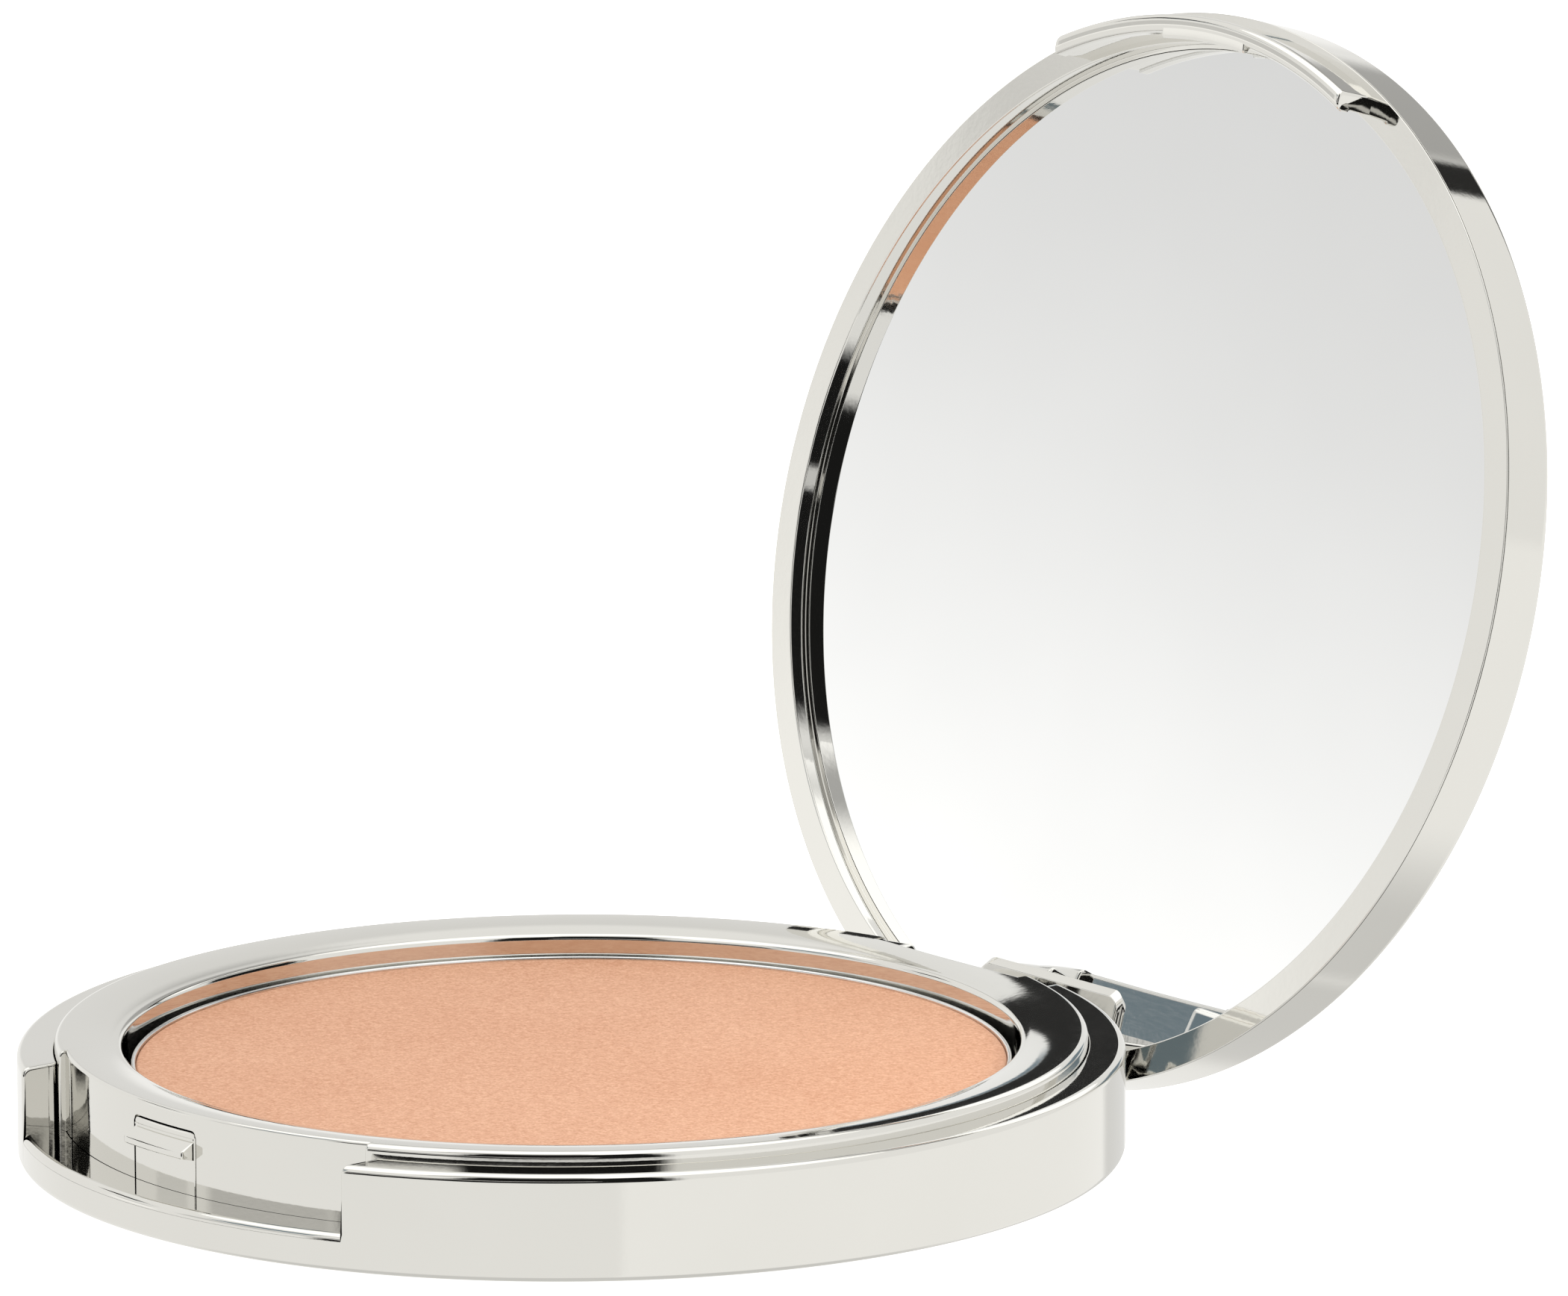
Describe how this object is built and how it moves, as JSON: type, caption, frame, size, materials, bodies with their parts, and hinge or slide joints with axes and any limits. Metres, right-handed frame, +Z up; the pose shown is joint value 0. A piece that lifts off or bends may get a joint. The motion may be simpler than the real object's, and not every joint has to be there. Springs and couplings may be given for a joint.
{
  "type": "powder compact",
  "caption": "Round chrome powder compact standing open: pressed powder in a metal pan below, a hinged lid with a mirror above, and a thumb notch with a spring catch at the front.",
  "frame": {"origin": "centre of the base's flat underside", "axes": "+Z up out of the powder, +Y towards the hinge, -Y towards the thumb notch, +X to the right as seen from the notch"},
  "size_m": [0.074, 0.0995, 0.0724],
  "materials": {
    "base_chrome": "polished",
    "tray_chrome": "polished",
    "pan_aluminium": "satin",
    "powder": "matte",
    "glue": "matte",
    "pin_steel": "satin",
    "label": "satin",
    "lid_chrome": "polished",
    "frame_chrome": "polished",
    "mirror": "polished",
    "tape": "matte"
  },
  "bodies": {
    "base": {"base_shell": "base_chrome", "inner_tray": "tray_chrome", "powder_pan": "pan_aluminium", "pressed_powder": "powder", "pan_glue_dots": "glue", "hinge_pin": "pin_steel", "base_label": "label"},
    "catch": {"catch_tongue": "tray_chrome"},
    "lid": {"lid_shell": "lid_chrome", "mirror_frame": "frame_chrome", "thumb_tab": "frame_chrome", "mirror_glass": "mirror", "mirror_adhesive": "tape"}
  },
  "joints": [
    {"name": "lid_hinge", "type": "hinge", "parent": "base", "child": "lid", "pos_m": [0, 0.03463, 0.00246], "axis": [1, 0, 0], "range_deg": [0, 105.58]},
    {"name": "catch_flex", "type": "hinge", "parent": "base", "child": "catch", "pos_m": [0, -0.0336, 0.00251], "axis": [-1, 0, 0], "range_deg": [0, 6], "stiffness_Nm_per_rad": 0.12}
  ]
}
